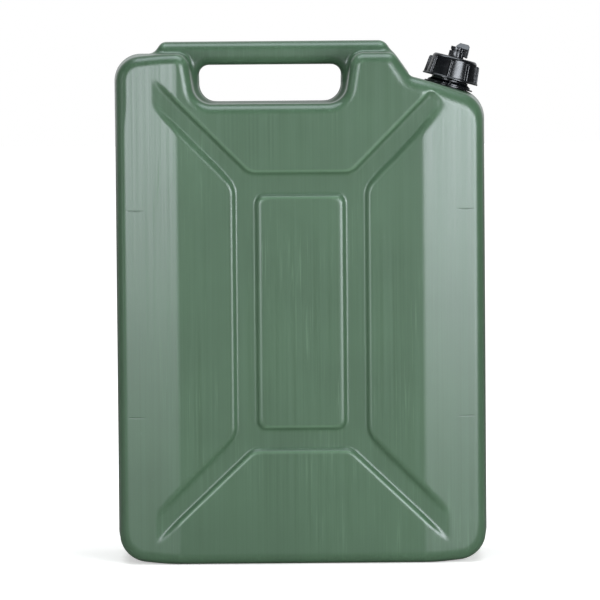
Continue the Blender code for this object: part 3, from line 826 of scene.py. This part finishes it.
def polyethylene():
    """Blow-moulded green polyethylene: satin, with fine upright die lines, soft mottling and a few scuffs,
    its sharper edges painted paler as wear and as a painted highlight.
    """
    m = Nodes("polyethylene_green")
    lines = m.noise((520, 520, 3.0), 3, 0.6)
    streaks = m.noise((900, 900, 16), 2, 0.5)
    patches = m.noise((16, 16, 7), 2, 0.5)
    mottle = m.noise((14, 14, 10), 3, 0.55)
    grain = m.noise((1500, 1500, 1500), 2, 0.6)
    scuff = m.noise((60, 60, 60), 8, 0.72)
    where = m.add("SeparateXYZ")
    m.link(m.add("TexCoord").outputs["Object"], where.inputs[0])
    insert, flash_and_highlight = mould_marks(m, where)
    dark = tuple(c * 0.92 for c in GREEN)
    light = tuple(c * 1.07 for c in GREEN)
    colour = m.ramp(mottle, [(0.3, dark), (0.7, light)])
    streak = m.ramp(lines, [(0.35, (0.94, 0.94, 0.94)), (0.65, (1.04, 1.05, 1.07))])
    colour = m.mix(1.0, colour, streak, "MULTIPLY")
    drawn = m.math("MULTIPLY", m.levels(streaks, 0.58, 0.70, 0, 1), m.levels(patches, 0.46, 0.62, 0, 1))
    colour = m.mix(m.math("MULTIPLY", drawn, 0.5), colour, tuple(c * 1.55 for c in GREEN))
    # Painted highlight and edge wear: sharp convex edges are painted paler, at full strength along the top
    # and bottom panels' channel edges and faintly elsewhere.
    edge_wear_and_highlight = m.levels(m.add("NewGeometry").outputs["Pointiness"], 0.512, 0.55, 0, 0.75)
    height = m.math("ABSOLUTE", m.math("SUBTRACT", where.outputs["Z"], FACE_MIDDLE_Z), 0)
    above = m.math("SUBTRACT", height, m.math("ABSOLUTE", where.outputs["X"], 0))
    edge_wear_and_highlight = m.math("MULTIPLY", edge_wear_and_highlight, m.levels(above, 66 * MM, 78 * MM, 0.12, 1))
    colour = m.mix(edge_wear_and_highlight, colour, tuple(c * 2.1 + 0.03 for c in GREEN))
    colour = m.mix(m.math("MULTIPLY", m.levels(scuff, 0.66, 0.74, 0, 1), 0.35), colour, (0.10, 0.15, 0.11))
    colour = m.mix(m.math("MULTIPLY", insert, 0.45), colour, tuple(c * 0.4 for c in GREEN))
    # Painted highlight: the trimmed flash band in the grip is painted paler; the added roughness below is the
    # flash's own.
    colour = m.mix(m.math("MULTIPLY", flash_and_highlight, 0.6), colour, (0.12, 0.19, 0.13))
    m.link(colour, m.shader.inputs["Base Color"])
    rough = m.math("ADD", m.levels(lines, 0.3, 0.7, 0.28, 0.35), m.math("MULTIPLY", drawn, 0.08))
    m.link(m.math("ADD", rough, m.math("MULTIPLY", flash_and_highlight, 0.25)), m.shader.inputs["Roughness"])
    m.shader.inputs["IOR"].default_value = 1.52
    m.bump(lines, 0.12, 0.15 * MM)
    m.bump(streaks, 0.10, 0.08 * MM)
    m.bump(grain, 0.10, 0.05 * MM)
    m.bump(m.math("MULTIPLY", insert, -1), 0.6, 0.15 * MM)
    return m.material


def black_plastic(name, colour, roughness):
    """Glossy moulded black plastic with fine scratches, a little dust and rubbed edges."""
    m = Nodes(name)
    cloud = m.noise((90, 90, 90), 4, 0.6)
    scratch = m.noise((2600, 2600, 160), 3, 0.7)
    grain = m.noise((2200, 2200, 2200), 2, 0.5)
    dull = tuple(c * 1.5 + 0.001 for c in colour)
    shade = m.ramp(cloud, [(0.35, colour), (0.75, dull)])
    edge = m.levels(m.add("NewGeometry").outputs["Pointiness"], 0.58, 0.72, 0.0, 0.35)
    worn = tuple(c * 2.5 + 0.006 for c in colour)
    m.link(m.mix(edge, shade, worn), m.shader.inputs["Base Color"])
    rough = m.math("ADD", m.levels(cloud, 0.3, 0.75, roughness - 0.05, roughness + 0.05),
                   m.levels(scratch, 0.45, 0.7, 0.0, 0.05))
    m.link(rough, m.shader.inputs["Roughness"])
    m.shader.inputs["IOR"].default_value = 1.56
    m.bump(scratch, 0.03, 0.02 * MM)
    m.bump(grain, 0.05, 0.02 * MM)
    return m.material


def rubber():
    """Matt black gasket rubber, with a fine grain and a bloom of paler patches."""
    m = Nodes("gasket_rubber")
    bloom = m.noise((260, 260, 260), 4, 0.65)
    grain = m.noise((3500, 3500, 3500), 2, 0.6)
    shade = m.ramp(bloom, [(0.3, (0.012, 0.012, 0.012)), (0.8, (0.034, 0.033, 0.031))])
    m.link(shade, m.shader.inputs["Base Color"])
    m.link(m.levels(bloom, 0.3, 0.8, 0.62, 0.82), m.shader.inputs["Roughness"])
    m.bump(grain, 0.25, 0.03 * MM)
    return m.material


# Pieces

BLACK = black_plastic("closure_black", (0.0016, 0.0019, 0.0025), 0.24)
TANK_PIECE = tank_object()
GREEN_SKIN = polyethylene()
NECK_PIECE = field_piece("neck_flange", "neck_fitting", 0.36 * MM, neck_field)
RING_PIECE = field_piece("screw_ring", "cap_ring", 0.3 * MM, ring_field)
VENT_PIECE = field_piece("vent_screw", "vent_knob", 0.28 * MM, knob_field)
VENT_BLACK = black_plastic("vent_black", (0.0035, 0.0040, 0.0050), 0.24)
PIECES = [
    (TANK_PIECE, "can_body", "can", GREEN_SKIN, "green_polyethylene"),
    (NECK_PIECE, "neck_fitting", "can", BLACK, "black_plastic"),
    (RING_PIECE, "cap_ring", "ring", BLACK, "black_plastic"),
    (VENT_PIECE, "vent_knob", "vent", VENT_BLACK, "vent_plastic"),
    (disc_piece(), "closure_disc", "closure", BLACK, "black_plastic"),
    (spout_piece(), "spout_tube", "spout", BLACK, "black_plastic"),
    (nozzle_piece(), "spout_nozzle", "spout", BLACK, "black_plastic"),
]
RUBBER = rubber()
PIECES += [
    (washer("neck_gasket", "spout_gasket"), "spout_gasket", "spout", RUBBER, "black_rubber"),
    (washer("disc_gasket", "closure_gasket"), "closure_gasket", "gasket", RUBBER, "black_rubber"),
    (seal_piece(), "vent_seal", "vent_carrier", RUBBER, "black_rubber"),
]
for piece, node, body, material, slot in PIECES:
    piece.data.materials.append(material)
    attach(piece, body)
    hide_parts(node)


# Stage, light and camera

AIM = Vector((0, 0, 0.30))
COOL = (0.88, 0.93, 1.0)
SKY = (0.84, 0.92, 1.0)


def soft_box(name, at, width, height, watts, colour):
    """A rectangular area light that faces the can."""
    light = bpy.data.lights.new(name, "AREA")
    light.shape = "RECTANGLE"
    light.size = width
    light.size_y = height
    light.energy = watts
    light.color = colour
    made = bpy.data.objects.new(name, light)
    made.location = at
    made.rotation_euler = (AIM - Vector(at)).to_track_quat("-Z", "Y").to_euler()
    bpy.context.scene.collection.objects.link(made)


def make_world():
    """White to the camera, soft grey as light, and a white backdrop in a dark room in reflections."""
    world = bpy.data.worlds.new("studio")
    bpy.context.scene.world = world
    world.use_nodes = True
    tree = world.node_tree
    tree.nodes.clear()
    kinds = ("OutputWorld", "Background", "Background", "LightPath", "MixShader", "TexCoord", "SeparateXYZ",
             "MapRange", "Mix")
    out, seen, lighting, path, mix, where, split, backdrop, strength = (
        tree.nodes.new("ShaderNode" + kind) for kind in kinds)
    seen.inputs["Color"].default_value = (1, 1, 1, 1)
    lighting.inputs["Color"].default_value = (0.96, 0.98, 1.0, 1)
    for socket, value in zip(("From Min", "From Max", "To Min", "To Max"), (0.3, 0.8, 0.04, 0.9)):
        backdrop.inputs[socket].default_value = value
    strength.inputs["A"].default_value = 0.195
    tree.links.new(where.outputs["Generated"], split.inputs[0])
    tree.links.new(split.outputs["Y"], backdrop.inputs["Value"])
    tree.links.new(path.outputs["Is Glossy Ray"], strength.inputs["Factor"])
    tree.links.new(backdrop.outputs["Result"], strength.inputs["B"])
    tree.links.new(strength.outputs["Result"], lighting.inputs["Strength"])
    tree.links.new(path.outputs["Is Camera Ray"], mix.inputs["Fac"])
    tree.links.new(lighting.outputs[0], mix.inputs[1])
    tree.links.new(seen.outputs[0], mix.inputs[2])
    tree.links.new(mix.outputs[0], out.inputs["Surface"])


def make_floor():
    """A pale floor, just under the can's base, that glows for the camera, more strongly further out, so that
    it fades into the white background and the can's shadow on it is paled; in reflections it is dark grey.
    """
    bpy.ops.mesh.primitive_plane_add(size=40)
    floor = bpy.context.object
    floor.name = "studio_floor"
    floor.location.z = -0.3 * MM
    m = Nodes("studio_floor")
    m.shader.inputs["Roughness"].default_value = 0.9
    m.shader.inputs["Emission Color"].default_value = (1, 1, 1, 1)
    where = m.add("TexCoord")
    distance = m.add("VectorMath", operation="LENGTH")
    m.link(where.outputs["Object"], distance.inputs[0])
    path = m.add("LightPath")
    ground = m.mix(path.outputs["Is Glossy Ray"], (0.90, 0.86, 0.80), (0.18, 0.17, 0.16))
    m.link(ground, m.shader.inputs["Base Color"])
    far = m.levels(distance.outputs["Value"], 0.3, 1.3, 0.45, 1.0)
    m.link(m.math("MULTIPLY", far, path.outputs["Is Camera Ray"]), m.shader.inputs["Emission Strength"])
    floor.data.materials.append(m.material)


def make_camera():
    """Far off with a long lens, as the photo was taken: slightly from above and a little rolled."""
    elevation = math.radians(3)
    roll = math.radians(0.47)
    away = 4.5
    view_width = 0.571
    target = Vector((-1 * MM, 0, 244 * MM))
    back = Vector((0, -math.cos(elevation), math.sin(elevation)))
    data = bpy.data.cameras.new("camera")
    data.lens = data.sensor_width * away / view_width
    data.clip_end = 60
    camera = bpy.data.objects.new("camera", data)
    camera.location = target + back * away
    turn = (-back).to_track_quat("-Z", "Y").to_matrix() @ Matrix.Rotation(-roll, 3, "Z")
    camera.rotation_euler = turn.to_euler()
    bpy.context.scene.collection.objects.link(camera)
    bpy.context.scene.camera = camera


make_world()
make_floor()
soft_box("left_box", (-0.95, -2.09, 0.52), 0.62, 0.70, 20, COOL)
soft_box("edge_box", (-1.88, -0.68, 0.45), 0.7, 1.2, 3.5, COOL)
soft_box("right_box", (1.20, -1.96, 0.60), 1.28, 0.80, 47, COOL)
soft_box("low_box", (1.22, -1.95, 0.20), 0.5, 0.36, 4, COOL)
soft_box("top_box", (0, -0.2, 2.2), 2.2, 1.2, 40, SKY)
make_camera()
bpy.context.scene.view_settings.view_transform = "Standard"

bpy.context.view_layer.update()
